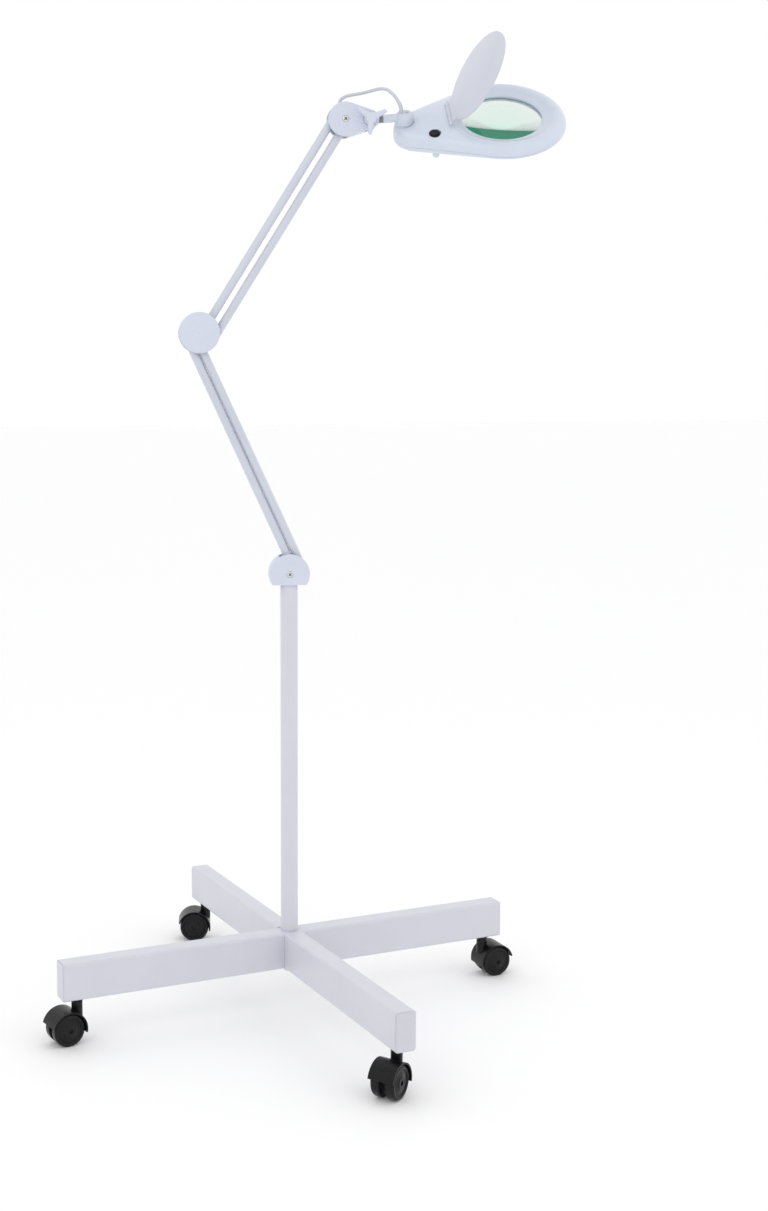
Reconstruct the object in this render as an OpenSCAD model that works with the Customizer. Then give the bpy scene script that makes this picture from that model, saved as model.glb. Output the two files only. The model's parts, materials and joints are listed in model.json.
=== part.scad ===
// Magnifying lamp on a wheeled floor stand.
// Origin: on the floor, on the pole axis. +X: the side the arms reach to.
// +Z: up. -Y: the side the tilt knob and the cover screws face.

/* [Stand] */
// Length of each leg tube of the cross, end cap to end cap
base_span = 760; // [560:10:900]
// Height of the leg tube section
leg_h = 58; // [40:1:70]
// Width of the leg tube section
leg_w = 32; // [26:1:45]
// Wall of the leg tube
leg_wall = 1.6; // [1:0.1:3]
// Turn of the cross about the pole, from +X
base_turn = 19; // [0:1:90]
// Height from the floor to the underside of the legs
caster_h = 68; // [60:1:85]
// Length of the pole tube
pole_len = 548; // [350:5:800]
// Outer diameter of the pole
pole_d = 27; // [24:0.5:36]
// Wall of the pole
pole_wall = 1.5; // [1:0.1:2.5]

/* [Casters] */
// Diameter of each caster wheel
wheel_d = 50; // [38:1:56]
// Width of one wheel of a pair
wheel_w = 15; // [10:1:20]
// Thickness of the hood's web between the wheels
web_t = 8; // [5:1:14]
// Distance from the stem axis to the wheel axle
trail = 20; // [14:1:26]
// Diameter of the caster stem
stem_d = 10; // [8:1:12]
// Diameter of the wheel axle
axle_d = 6; // [5:1:8]

/* [Arms] */
// Outer diameter of the arm tubes
tube_d = 12.7; // [10:0.1:16]
// Wall of the arm tubes
tube_wall = 1.1; // [0.8:0.1:2]
// Pivot to pivot length of the lower arm
lower_len = 387; // [250:1:500]
// Pivot to pivot length of the upper arm
upper_len = 370; // [250:1:500]
// Angle of the lower arm above +X as it stands
lower_rest = 114.6; // [60:0.1:114.6]
// Angle of the upper arm above +X as it stands
upper_rest = 57.8; // [10:0.1:70]
// Gap left between the lower tubes at their back stop
tube_gap = 0.7; // [0.5:0.1:2]
// Diameter of the pivot pins
pin_d = 5; // [4:0.5:6]

/* [Knuckles] */
// Thickness of the steel bracket plates
plate_t = 2; // [1.5:0.1:3]
// Side play between a tube end and a bracket plate
side_play = 1.1; // [0.5:0.1:2]
// Wall of the moulded covers
cover_t = 2; // [1.5:0.1:3]
// Rise of the domed face of a cover
cover_rise = 3.5; // [2:0.1:5]
// Diameter of the swivel spigot under the base bracket
spigot_d = 14; // [10:0.5:17]
// Diameter of the cover screw heads
screw_head_d = 10; // [8:0.5:12]

/* [Head] */
// Diameter of the lens
lens_d = 127; // [100:1:140]
// Thickness of the lens at its middle
lens_t = 13; // [8:0.5:18]
// Outer diameter of the ring housing
ring_d = 194; // [186:1:230]
// Distance from the head's swivel axis to the lens axis
lens_reach = 146; // [136:1:175]
// Depth of the ring housing
ring_h = 22; // [20:0.5:30]
// Radius of the rounded rear end of the head
rear_r = 38; // [30:1:45]
// Wall of the head shells
shell_t = 2.2; // [1.6:0.1:3]
// Tilt of the head upwards as it stands
head_pitch = 5; // [-20:0.5:30]
// Roll of the head towards -Y as it stands
head_roll = 39; // [0:1:60]
// Swivel of the head on its yoke as it stands
head_swivel = -5; // [-30:1:30]
// Diameter of the lid over the lens
lid_d = 136; // [124:1:150]
// Opening angle of the lid as it stands
lid_open = 60; // [0:1:95]

/* [Fits] */
// Radial clearance of a running fit
run_fit = 0.05; // [0.03:0.01:0.1]
// Gap between pieces that pass each other
pass_gap = 0.4; // [0.3:0.1:1]

/* [Hidden] */
$fn = 48;
caster_ids = ["a", "b", "c", "d"];
// Which way each caster trails, counted from +X
caster_trail = [207, 232, 17, 177];

// ---- stand
leg_r = 4;
leg_bottom = caster_h;
leg_top = leg_bottom + leg_h;
leg_mid = leg_bottom + leg_h / 2;
cap_t = 4;
cap_plug = 12;
tube_len = base_span - 2 * cap_t;
stem_out = base_span / 2 - 26;
socket_d = stem_d + 6;
socket_len = 38;
flange_t = 2;
bolt_d = 10;
pole_r = pole_d / 2;
pole_in = pole_r - pole_wall;
pole_top = leg_top + pole_len;
bush_flange = 3.6;
bush_len = 42;
nut_block = 12;

// ---- casters
wheel_r = wheel_d / 2;
hood_gap = 1.2;
hood_t = 2.4;
hood_r = wheel_r + hood_gap + hood_t;
side_gap = 0.5;
hood_half = web_t / 2 + 2 * side_gap + wheel_w;
boss_d = stem_d + 7;
boss_top = caster_h - flange_t - 2;

// ---- linkage, as [x, z] pairs in the plane of the arms
tube_r = tube_d / 2;
tube_in = tube_r - tube_wall;
pin_r = pin_d / 2;
low_tilt = -28.1;
up_tilt = -57.4;
pivot_gap = (tube_d + tube_gap) / sin(114.6 - low_tilt);
function along(len, ang) = len * [cos(ang), sin(ang)];
low_half = along(pivot_gap / 2, low_tilt);
up_half = along(pivot_gap / 2, up_tilt);
base_mid = pivot_gap * [0.64, 0.36];
elbow_low_mid = pivot_gap * [-0.48, -0.41];
elbow_up_mid = pivot_gap * [0.745, 0.034];
knuckle_mid = pivot_gap * [-0.32, -0.055];
cover_edge = 0.8;
base_r = norm(base_mid + low_half) + tube_r + cover_edge;
elbow_r = norm(elbow_up_mid + up_half) + tube_r + cover_edge;
knuckle_r = norm(knuckle_mid - up_half) + tube_r + 4;
base_flat = -16.4;
thrust_gap = 0.1;
base_c = [0, pole_top + bush_flange + thrust_gap - base_flat];
elbow_c = base_c + base_mid + along(lower_len, lower_rest) - elbow_low_mid;
knuckle_c = elbow_c + elbow_up_mid + along(upper_len, upper_rest) - knuckle_mid;
base_main = base_c + base_mid - low_half;
base_link = base_c + base_mid + low_half;
elbow_main = elbow_c + elbow_low_mid - low_half;
elbow_link = elbow_c + elbow_low_mid + low_half;
upper_main = elbow_c + elbow_up_mid - up_half;
upper_link = elbow_c + elbow_up_mid + up_half;
knuckle_main = knuckle_c + knuckle_mid - up_half;
knuckle_link = knuckle_c + knuckle_mid + up_half;
tilt_c = knuckle_c + [37, 0];
plate_in = tube_r + side_play;
plate_out = plate_in + plate_t;
cover_y = plate_out + 3;
post_r = 3;
seat_y = cover_y + cover_rise - 1.2;
eye_r = tube_r - 0.2;
blade_t = 0.72 * tube_d;

// ---- tilt clamp
clamp_r = 4;
lug_r = 12.5;
tongue_r = 9.5;
tongue_half = 5;
collar_x = 16;
rod_r = 6.25;
rod_x = 21;
roll_pin_r = 3.5;
roll_pin_len = 18;
knob_y = plate_out + 6;
nose_r = 14;
knob_hub_r = 7.5;
knob_h = 15;
wing_len = 25;

// ---- yoke and head: origin on the swivel axis at the rod's height
yoke_reach = 54.5;
ring_r = ring_d / 2;
lens_r = lens_d / 2;
well_r = lens_r - 3.5;
crest_r = ring_r - 13;
split_z = -13;
rear_x = rear_r - 16;
rear_round = 10;
rear_top = -10.5;
rear_bottom = -40;
yoke_z = -8;
land_z = -8.4;
lens_z = -12;
lens_edge = 3;
collar_r = lens_r + 3.5;
led_in = collar_r + 1;
led_out = ring_r - 10.5;
lid_r = lid_d / 2;
lid_gap = 4;
lid_sink = 3.4;
lid_x = lens_reach - 7.5;
hinge_x = lid_x - lid_r - lid_gap;
hinge_z = 3;
hinge_half = 33;
barrel_r = 2.7;
lid_pin_r = 1.5;
switch_at = [41, -39];
switch_r = 7.4;
switch_z = -6.5;
switch_lean = 8;
cap_r = 13.5;
lead_r = 2.4;
lead_at = [-6, 0];
cap_screw_x = 3;
screw_top = -14;
foot_at = [45, -42];
foot_r = 5;
post_at = [[4, 20], [4, -20], [52, 44], [27, -31]];
// Route of the lead from the top knuckle to the head, counted from the tilt pivot
lead_path = [
    [-43.5, 0, 21], [-44.5, 0, 26], [-41.5, 0, 31], [-34.5, 0, 35], [-25.5, 0, 37],
    [-13.5, 0, 39], [-0.5, 0, 42], [10.5, 0, 45], [19.5, -1, 46], [27.5, -3, 44],
    [33.5, -5, 39], [38.5, -8, 33], [42.5, -10, 26], [45.5, -11, 20],
    [47, -9, 15.5], [47.7, -6.1, 11.8]];

function arc(c, r, a0, a1, n) =
    [for (i = [0:n]) c + r * [cos(a0 + (a1 - a0) * i / n), sin(a0 + (a1 - a0) * i / n)]];

// ---- helpers
// Flat outline in the arm plane, extruded between two depths
module slab(y0, y1) {
    translate([0, y1, 0]) rotate([90, 0, 0]) linear_extrude(y1 - y0) children();
}
// Cylinder across the arm plane, centred on an [x, z] point
module cross_rod(p, r, y0, y1) {
    translate([p[0], y1, p[1]]) rotate([90, 0, 0]) cylinder(r = r, h = y1 - y0);
}
// Profile of [radius, depth towards -Y], revolved about the Y axis through p
module cross_turn(p) {
    translate([p[0], 0, p[1]]) rotate([90, 0, 0]) rotate_extrude() children();
}
module rounded(w, h, r) {
    square([w - 2 * r, h], center = true);
    square([w, h - 2 * r], center = true);
    for (x = [-1, 1], y = [-1, 1])
        translate([x * (w / 2 - r), y * (h / 2 - r)]) circle(r);
}
module at_tilt() {
    translate([tilt_c[0], 0, tilt_c[1]]) rotate([0, -head_pitch, 0]) children();
}
module in_yoke() {
    at_tilt() translate([yoke_reach, 0, 0]) rotate([head_roll, 0, 0]) children();
}
module in_head() {
    in_yoke() rotate([0, 0, head_swivel]) children();
}
module on_lens() {
    translate([lens_reach, 0, 0]) children();
}
module at_stems() {
    for (i = [0:3])
        rotate([0, 0, base_turn + 180 + 90 * i]) translate([stem_out, 0, 0]) children();
}

// ---- stand
module leg(turn, notch_z) {
    rotate([0, 0, turn]) difference() {
        translate([-tube_len / 2, 0, leg_mid]) rotate([90, 0, 90]) linear_extrude(tube_len)
            difference() {
                rounded(leg_w, leg_h, leg_r);
                rounded(leg_w - 2 * leg_wall, leg_h - 2 * leg_wall, leg_r - leg_wall);
            }
        translate([-leg_w / 2 - 0.2, -leg_w, notch_z]) cube([leg_w + 0.4, 2 * leg_w, leg_h / 2 + 1]);
        for (s = [-1, 1])
            translate([s * stem_out, 0, leg_bottom - 1]) cylinder(d = socket_d + 0.2, h = leg_wall + 2);
        translate([0, 0, leg_bottom - 1]) cylinder(d = bolt_d + 1, h = leg_h + 2);
    }
}
module leg_tube_front() {
    color("white") leg(base_turn - 90, leg_mid);
}
module leg_tube_side() {
    color("whitesmoke") leg(base_turn, leg_bottom - 1);
}
module leg_caps() {
    plug_w = leg_w - 2 * leg_wall - 0.2;
    plug_h = leg_h - 2 * leg_wall - 0.2;
    color("gainsboro") for (i = [0:3]) rotate([0, 0, base_turn + 90 * i])
        translate([tube_len / 2, 0, leg_mid]) rotate([90, 0, 90]) {
            linear_extrude(cap_t - 1.2) rounded(leg_w, leg_h, leg_r);
            linear_extrude(cap_t) rounded(leg_w - 2.4, leg_h - 2.4, leg_r - 1.2);
            translate([0, 0, -cap_plug]) linear_extrude(cap_plug) difference() {
                rounded(plug_w, plug_h, leg_r - leg_wall);
                rounded(plug_w - 4, plug_h - 4, 1);
            }
        }
}
module caster_sockets() {
    color("dimgray") at_stems() difference() {
        union() {
            translate([0, 0, leg_bottom - flange_t]) cylinder(d = socket_d + 6, h = flange_t);
            translate([0, 0, leg_bottom - flange_t]) cylinder(d = socket_d, h = socket_len + flange_t);
        }
        translate([0, 0, leg_bottom - flange_t - 1]) cylinder(r = stem_d / 2 + run_fit, h = socket_len - 1);
    }
}
module caster_stems() {
    color("silver") at_stems() {
        translate([0, 0, boss_top - 16]) cylinder(d = stem_d, h = 16 + 2 + flange_t + socket_len - 4);
        translate([0, 0, boss_top + 0.3]) cylinder(d = stem_d + 5, h = 1.6, $fn = 6);
    }
}
module pole() {
    color("white") difference() {
        union() {
            translate([0, 0, leg_top]) difference() {
                cylinder(r = pole_r, h = pole_len);
                translate([0, 0, -1]) cylinder(r = pole_in, h = pole_len + 2);
            }
            translate([0, 0, leg_top]) cylinder(r = pole_in + 0.1, h = nut_block);
        }
        translate([0, 0, leg_top - 1]) cylinder(d = bolt_d, h = nut_block + 2);
    }
}
module pole_bolt() {
    color("silver") {
        translate([0, 0, leg_bottom - 2]) cylinder(r = 15, h = 2);
        translate([0, 0, leg_bottom - 8]) cylinder(r = 9, h = 6, $fn = 6);
        translate([0, 0, leg_bottom - 2]) cylinder(d = bolt_d, h = leg_h + nut_block - 1);
    }
}
module pole_bush() {
    color("white") difference() {
        union() {
            translate([0, 0, pole_top]) cylinder(r = pole_r - 0.6, h = bush_flange);
            translate([0, 0, pole_top - bush_len]) cylinder(r = pole_in, h = bush_len);
        }
        translate([0, 0, pole_top - bush_len - 1]) cylinder(r = spigot_d / 2 + run_fit, h = bush_len + 10);
    }
}

// ---- casters: stem axis at the origin, trailing towards +X
module hood() {
    axle = [trail, wheel_r];
    difference() {
        union() {
            // fender over both wheels
            intersection() {
                cross_rod(axle, hood_r, -hood_half, hood_half);
                translate([trail - hood_r - 1, -hood_half, wheel_r * 0.72]) rotate([0, -14, 0])
                    cube([2 * hood_r + 20, 2 * hood_half, hood_r + 20]);
            }
            translate([0, 0, boss_top - 26]) cylinder(d = boss_d, h = 26);
        }
        for (s = [-1, 1]) {
            y = s * (web_t / 2 + (hood_half + 1) / 2);
            cross_rod(axle, wheel_r + hood_gap, y - (hood_half + 1) / 2, y + (hood_half + 1) / 2);
        }
        translate([0, 0, boss_top - 20]) cylinder(r = stem_d / 2 + run_fit, h = 30);
    }
    cross_rod(axle, axle_d / 2, -hood_half + side_gap + 2, hood_half - side_gap - 2);
}
module wheel(s) {
    inner = web_t / 2 + side_gap;
    outer = inner + wheel_w;
    bore = axle_d / 2 + run_fit;
    translate([trail, 0, wheel_r]) rotate([s * 90, 0, 0]) rotate_extrude() polygon([
        [bore, inner], [wheel_r - 1.5, inner], [wheel_r, inner + 1.5],
        [wheel_r, outer - 4], [wheel_r - 1.2, outer - 2], [wheel_r - 4, outer - 0.8],
        [wheel_r - 6, outer - 1.2], [wheel_r - 7, outer - 2.6], [wheel_r * 0.45, outer - 1.4],
        [wheel_r * 0.3, outer], [axle_d / 2 + 0.5, outer], [axle_d / 2 + 0.5, outer - 1],
        [bore, outer - 1]]);
}
module at_caster(i) {
    rotate([0, 0, base_turn + 180 + 90 * i]) translate([stem_out, 0, 0])
        rotate([0, 0, caster_trail[i] - base_turn - 180 - 90 * i]) children();
}
module caster_hood(i) {
    color("#202022") at_caster(i) hood();
}
module caster_wheel(i, s) {
    color("#2b2b2e") at_caster(i) wheel(s);
}

// ---- knuckles
// Cup with a domed face and a rim to the split line; s is -1 for the front, 1 for the back
module cup(c, r, s) {
    n = 6;
    crown = [for (i = [0:n]) [(r - 3) * i / n, cover_y + cover_rise - 1.2 * pow(i / n, 2)]];
    edge = arc([r - 3, cover_y + cover_rise - 4.2], 3, 80, 0, 5);
    mirror([0, s < 0 ? 0 : 1, 0]) cross_turn(c) polygon(concat(
        crown, edge, [[r, 0.1], [r - cover_t, 0.1], [r - cover_t, cover_y], [0, cover_y]]));
}
// Sector of the rim that is open for the arms, from angle a0 to a1
module sector(c, s, a0, a1) {
    slab(s < 0 ? 1 - cover_y : -0.5, s < 0 ? 0.5 : cover_y - 1) translate(c)
        polygon(concat([[0, 0]], [for (i = [0:4]) along(70, a0 + (a1 - a0) * i / 4)]));
}
// Through post with a domed cross-head screw at the front, the back or both
module screw_pair(c, r, front, back) {
    cross_rod(c, post_r, -seat_y, seat_y);
    for (s = [-1, 1]) if ((s < 0 && front) || (s > 0 && back))
        mirror([0, s < 0 ? 0 : 1, 0]) difference() {
            cross_turn(c) polygon(concat([[0, seat_y], [r, seat_y], [r, seat_y + 0.6]],
                [for (i = [1:5]) [r * cos(18 * i), seat_y + 0.6 + 1.6 * sin(18 * i)]]));
            for (a = [45, 135]) translate([c[0], -seat_y - 2, c[1]])
                rotate([0, a, 0]) cube([r * 1.2, 2, 1.2], center = true);
        }
}
module cover(c, r, s, a0, a1, hole_r) {
    difference() {
        cup(c, r, s);
        sector(c, s, a0, a1);
        if (hole_r > 0) {
            cross_rod(c, hole_r, -cover_y - 9, cover_y + 9);
            cross_rod(c, screw_head_d / 2 + 0.15, -cover_y - 9, -seat_y);
            cross_rod(c, screw_head_d / 2 + 0.15, seat_y, cover_y + 9);
        }
    }
}
module plates(holes) {
    for (s = [-1, 1]) difference() {
        slab(s < 0 ? -plate_out : plate_in, s < 0 ? -plate_in : plate_out) children();
        for (h = holes) cross_rod(h, pin_r, -plate_out - 1, plate_out + 1);
    }
}
module pins(points) {
    for (p = points) cross_rod(p, pin_r, -plate_out - 1, plate_out + 1);
}

module base_bracket() {
    web_z = base_c[1] + base_flat;
    color("lightgray") {
        difference() {
            union() {
                plates([base_main, base_link]) translate(base_c) intersection() {
                    circle(base_r - cover_t - 0.4);
                    translate([-base_r, base_flat]) square([2 * base_r, 3 * base_r]);
                }
                translate([-15, -plate_out, web_z]) cube([30, 2 * plate_out, 3]);
            }
            cross_rod(base_c, post_r, -plate_out - 1, plate_out + 1);
        }
        translate([0, 0, web_z - 40]) cylinder(d = spigot_d, h = 41);
    }
}
module base_cover(s) {
    floor_z = base_c[1] + base_flat;
    floor_x = sqrt(pow(base_r, 2) - pow(base_flat, 2)) - 1;
    color("white") {
        difference() {
            cover(base_c, base_r, s, -20, 120, post_r + 0.1);
            translate([-50, -50, floor_z - 40]) cube([100, 100, 40]);
            if (s > 0) cross_rod(base_c + [-13, -2], 5, plate_out, cover_y + 9);
        }
        translate([-floor_x, s < 0 ? -cover_y - 0.5 : plate_out + 0.1, floor_z])
            cube([2 * floor_x, cover_y - plate_out + 0.4, cover_t]);
    }
}
module base_fixings() {
    color("silver") {
        screw_pair(base_c, screw_head_d / 2, true, true);
        pins([base_main, base_link]);
    }
}
module mains_gland() {
    c = base_c + [-13, -2];
    color("dimgray") difference() {
        union() {
            cross_rod(c, 5, plate_out + 0.3, cover_y + cover_rise + 8);
            cross_rod(c, 7, cover_y + cover_rise, cover_y + cover_rise + 2.5);
        }
        cross_rod(c, 3, plate_out, cover_y + cover_rise + 9);
        for (k = [0:2]) gland_groove(c, cover_y + cover_rise + 3.6 + 1.6 * k);
    }
}
module gland_groove(c, y) {
    difference() {
        cross_rod(c, 5.2, y, y + 0.8);
        cross_rod(c, 4.2, y - 0.1, y + 0.9);
    }
}

// ---- arms
// Tube with eyes at both ends, between two pivots
module arm_tube(p, q) {
    len = norm(q - p);
    ang = atan2(q[1] - p[1], q[0] - p[0]);
    difference() {
        union() {
            translate([p[0], 0, p[1]]) rotate([0, 90 - ang, 0]) translate([0, 0, 9])
                cylinder(r = tube_r, h = len - 18);
            for (e = [[p, ang], [q, ang + 180]]) slab(-blade_t / 2, blade_t / 2)
                translate(e[0]) rotate(e[1]) {
                    circle(eye_r);
                    translate([0, 0.5 - eye_r]) square([14, 2 * eye_r - 1]);
                }
        }
        translate([p[0], 0, p[1]]) rotate([0, 90 - ang, 0]) {
            translate([0, 0, 34]) cylinder(r = tube_in, h = len - 68);
            // slots where the spring's anchor strap and the wires leave the tube
            for (z = [40, len - 56]) translate([-tube_d, -2.5, z]) cube([tube_d, 5, 16]);
        }
        for (e = [p, q]) cross_rod(e, pin_r + run_fit, -tube_d, tube_d);
    }
}
// Closed-wound tension spring lying in a tube, with a hook rod at each end
module tube_spring(p, q) {
    len = norm(q - p);
    ang = atan2(q[1] - p[1], q[0] - p[0]);
    r = tube_in - 0.6;
    translate([p[0], 0, p[1]]) rotate([0, 90 - ang, 0]) {
        translate([0, 0, 60]) rotate_extrude() polygon(concat([[r - 1.6, 0]],
            [for (i = [0:23]) each [[r, i * 6 + 1], [r - 0.5, i * 6 + 4]]], [[r - 1.6, 144]]));
        for (z = [34, 198]) translate([0, 0, z]) cylinder(r = 1.2, h = 32);
        for (z = [60, 200]) translate([0, 0, z]) cylinder(r = r - 1.4, h = 4);
    }
}
module lower_arm_main() {
    color("white") arm_tube(base_main, elbow_main);
}
module lower_arm_link() {
    color("whitesmoke") arm_tube(base_link, elbow_link);
}
module lower_spring() {
    color("gray") tube_spring(base_main, elbow_main);
}
module upper_arm_main() {
    color("white") arm_tube(upper_main, knuckle_main);
}
module upper_arm_link() {
    color("whitesmoke") arm_tube(upper_link, knuckle_link);
}
module upper_spring() {
    color("gray") tube_spring(upper_main, knuckle_main);
}

// ---- elbow
module elbow_bracket() {
    color("lightgray") difference() {
        union() {
            plates([elbow_main, elbow_link, upper_main, upper_link])
                translate(elbow_c) circle(elbow_r - cover_t - 0.4);
            cross_rod(elbow_c, post_r + 2, -plate_in - 0.1, plate_in + 0.1);
        }
        cross_rod(elbow_c, post_r, -plate_out - 1, plate_out + 1);
    }
}
module elbow_cover(s) {
    color("white") cover(elbow_c, elbow_r, s, 170, 440, s > 0 ? post_r + 0.1 : 0);
}
module elbow_fixings() {
    color("silver") {
        elbow_screw();
        pins([elbow_main, elbow_link, upper_main, upper_link]);
    }
}
// Screw from the back into a post that stops behind the plain front cover
module elbow_screw() {
    difference() {
        screw_pair(elbow_c, screw_head_d / 2, false, true);
        cross_rod(elbow_c, post_r + 1, -cover_y - 5, -cover_y + 0.2);
    }
}

// ---- top knuckle
module knuckle_bracket() {
    color("lightgray") {
        difference() {
            union() {
                plates([knuckle_main, knuckle_link]) {
                    translate(knuckle_c) circle(knuckle_r - cover_t - 0.4);
                    translate(tilt_c) circle(lug_r);
                    translate(knuckle_c + [15, -10]) square([22, 21]);
                }
                cross_rod(tilt_c, lug_r - 2, -knob_y, -plate_out + 0.1);
            }
            cross_rod(tilt_c, clamp_r, -knob_y - 1, plate_out + 1);
            cross_rod(knuckle_c, post_r, -plate_out - 1, plate_out + 1);
        }
    }
}
// Teardrop form: a domed disc over the pivots, run out to a low nose at the clamp
module teardrop(r, nose_r, y, rise) {
    hull() {
        cross_turn(knuckle_c) polygon(concat([[0, 0.1], [r, 0.1]],
            arc([r - 3, y + rise - 4.2], 3, 0, 80, 5), [[0, y + rise]]), $fn = 72);
        cross_turn(tilt_c) polygon(concat([[0, 0.1], [nose_r, 0.1]],
            arc([nose_r - 2, y - 0.8], 2, 0, 80, 4), [[0, y + 1.2]]), $fn = 48);
    }
}
module knuckle_cover(s) {
    color("white") mirror([0, s < 0 ? 0 : 1, 0]) difference() {
        teardrop(knuckle_r, nose_r, cover_y, cover_rise);
        teardrop(knuckle_r - cover_t, nose_r - cover_t, cover_y - cover_t, cover_rise);
        translate([0, 0.2, 0]) sector(knuckle_c, -1, 134, 280);
        cross_rod(tilt_c, nose_r + 4, -plate_out, 1);
        cross_rod(tilt_c, s < 0 ? lug_r - 1.8 : 9, -cover_y - 9, 1);
        cross_rod(knuckle_c, post_r + 0.1, -cover_y - 9, 1);
        cross_rod(knuckle_c, screw_head_d / 2 + 0.15, -cover_y - 9, -seat_y);
        translate([knuckle_c[0], 0, knuckle_c[1]]) rotate([0, -17, 0]) cylinder(r = lead_r + 0.4, h = 60);
    }
}
module knuckle_fixings() {
    color("silver") {
        screw_pair(knuckle_c, screw_head_d / 2, true, true);
        pins([knuckle_main, knuckle_link]);
    }
}
module clamp_bolt() {
    color("silver") {
        cross_rod(tilt_c, clamp_r, -knob_y - knob_h + 3, plate_out + 1);
        cross_rod(tilt_c, 8, plate_out, plate_out + 2);
        translate([tilt_c[0], plate_out + 8, tilt_c[1]]) rotate([90, 0, 0])
            cylinder(r = 7.5, h = 6, $fn = 6);
    }
}
module wing_knob() {
    color("white") difference() {
        union() {
            cross_turn(tilt_c) polygon(concat(
                [[0, knob_y + 0.3], [knob_hub_r + 1.5, knob_y + 0.3], [knob_hub_r + 1.5, knob_y + 3],
                 [knob_hub_r, knob_y + 5]],
                arc([knob_hub_r - 3, knob_y + knob_h - 3], 3, 0, 90, 4), [[0, knob_y + knob_h]]));
            for (k = [0:2]) translate([tilt_c[0], -knob_y - knob_h + 1.2, tilt_c[1]])
                rotate([0, -25 - 120 * k, 0]) rotate([-90, 0, 0]) linear_extrude(7) wing();
        }
        cross_rod(tilt_c, clamp_r + run_fit, -knob_y - knob_h + 2.5, -knob_y + 1);
    }
}
module wing() {
    translate([0, -2.6]) square([wing_len - 3.2, 5.2]);
    translate([wing_len - 3.2, 0]) circle(3.2);
    polygon([[knob_hub_r * 0.7, -5.2], [wing_len - 8, -2.6], [wing_len - 8, 2.6], [knob_hub_r * 0.7, 5.2]]);
}
module tilt_tongue() {
    color("dimgray") at_tilt() {
        difference() {
            union() {
                rotate([90, 0, 0]) cylinder(r = tongue_r, h = 2 * tongue_half, center = true);
                translate([0, -tongue_half, -5]) cube([collar_x + 1, 2 * tongue_half, 10]);
            }
            rotate([90, 0, 0]) cylinder(r = clamp_r + run_fit, h = 30, center = true);
        }
        translate([collar_x, 0, 0]) rotate([0, 90, 0]) cylinder(r = 5.6, h = rod_x - collar_x - 0.3);
        translate([collar_x, 0, 0]) rotate([0, 90, 0]) cylinder(r = roll_pin_r, h = rod_x - collar_x + roll_pin_len);
    }
}

// ---- yoke, all in the head's frame
module yoke_rod() {
    start = rod_x - yoke_reach;
    color("white") in_yoke() difference() {
        union() {
            translate([start, 0, 0]) rotate([0, 90, 0]) cylinder(r = rod_r, h = -start - 6);
            translate([0, 0, -6]) cylinder(r = 9, h = 10);
        }
        translate([start - 1, 0, 0]) rotate([0, 90, 0]) cylinder(r = roll_pin_r + run_fit, h = roll_pin_len + 1.5);
        translate([0, 0, -7]) cylinder(r = 3.5, h = 9);
    }
}
module yoke_cap() {
    dome = [for (i = [0:6]) [cap_r * cos(15 * i), 2.5 + 6 * sin(15 * i)]];
    inner = [for (i = [6:-1:0]) [(cap_r - 2) * cos(15 * i), 2 + 4.4 * sin(15 * i)]];
    color("white") in_yoke() difference() {
        union() {
            rotate_extrude() polygon(concat([[cap_r, yoke_z]], dome, inner, [[cap_r - 2, yoke_z]]));
            translate([lead_at[0], lead_at[1], 5.5]) cylinder(r = lead_r + 1.4, h = 4);
        }
        translate([-40, 0, 0]) rotate([0, 90, 0]) cylinder(r = rod_r + 0.05, h = 36);
        translate([lead_at[0], lead_at[1], 4]) cylinder(r = lead_r + 0.3, h = 10);
        translate([cap_screw_x, 0, 4]) cylinder(r = 1.5, h = 10);
    }
}
module yoke_screw() {
    color("silver") in_yoke() difference() {
        union() {
            translate([cap_screw_x, 0, 8.5]) cylinder(r = 2.4, h = 1.5);
            translate([cap_screw_x, 0, 4.2]) cylinder(r = 1.4, h = 5);
        }
        for (a = [0, 90]) translate([cap_screw_x, 0, 9.4]) rotate([0, 0, a])
            translate([-1.7, -0.3, 0]) cube([3.4, 0.6, 2]);
    }
}
module swivel_bolt() {
    color("silver") in_yoke() difference() {
        union() {
            translate([0, 0, split_z - 9]) cylinder(r = 3.5, h = 11 - split_z);
            translate([0, 0, split_z - 7.3]) cylinder(r = 6.5, h = 6, $fn = 6);
            translate([0, 0, split_z - 1.3]) cylinder(r = 8, h = 1.2);
        }
        translate([0, 0, -40]) cylinder(r = 1.4, h = 60);
    }
}

// ---- head
// Outer form of the head, grown inwards by a wall
module head_form(t) {
    hull() {
        on_lens() rotate_extrude($fn = 80) polygon(concat([[0, -ring_h + t]],
            arc([ring_r - 8, -ring_h + 8], 8 - t, -90, 0, 5),
            arc([crest_r - 3, -16], 16 - t, 0, 90, 7), [[0, -t]]));
        translate([rear_x, 0, 0]) rotate_extrude($fn = 56) polygon(concat([[0, rear_bottom + t]],
            arc([rear_r - 7, rear_bottom + 7], 7 - t, -90, 0, 4),
            arc([rear_r - rear_round, rear_top - rear_round], rear_round - t, 0, 90, 5), [[0, rear_top - t]]));
    }
}
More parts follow.
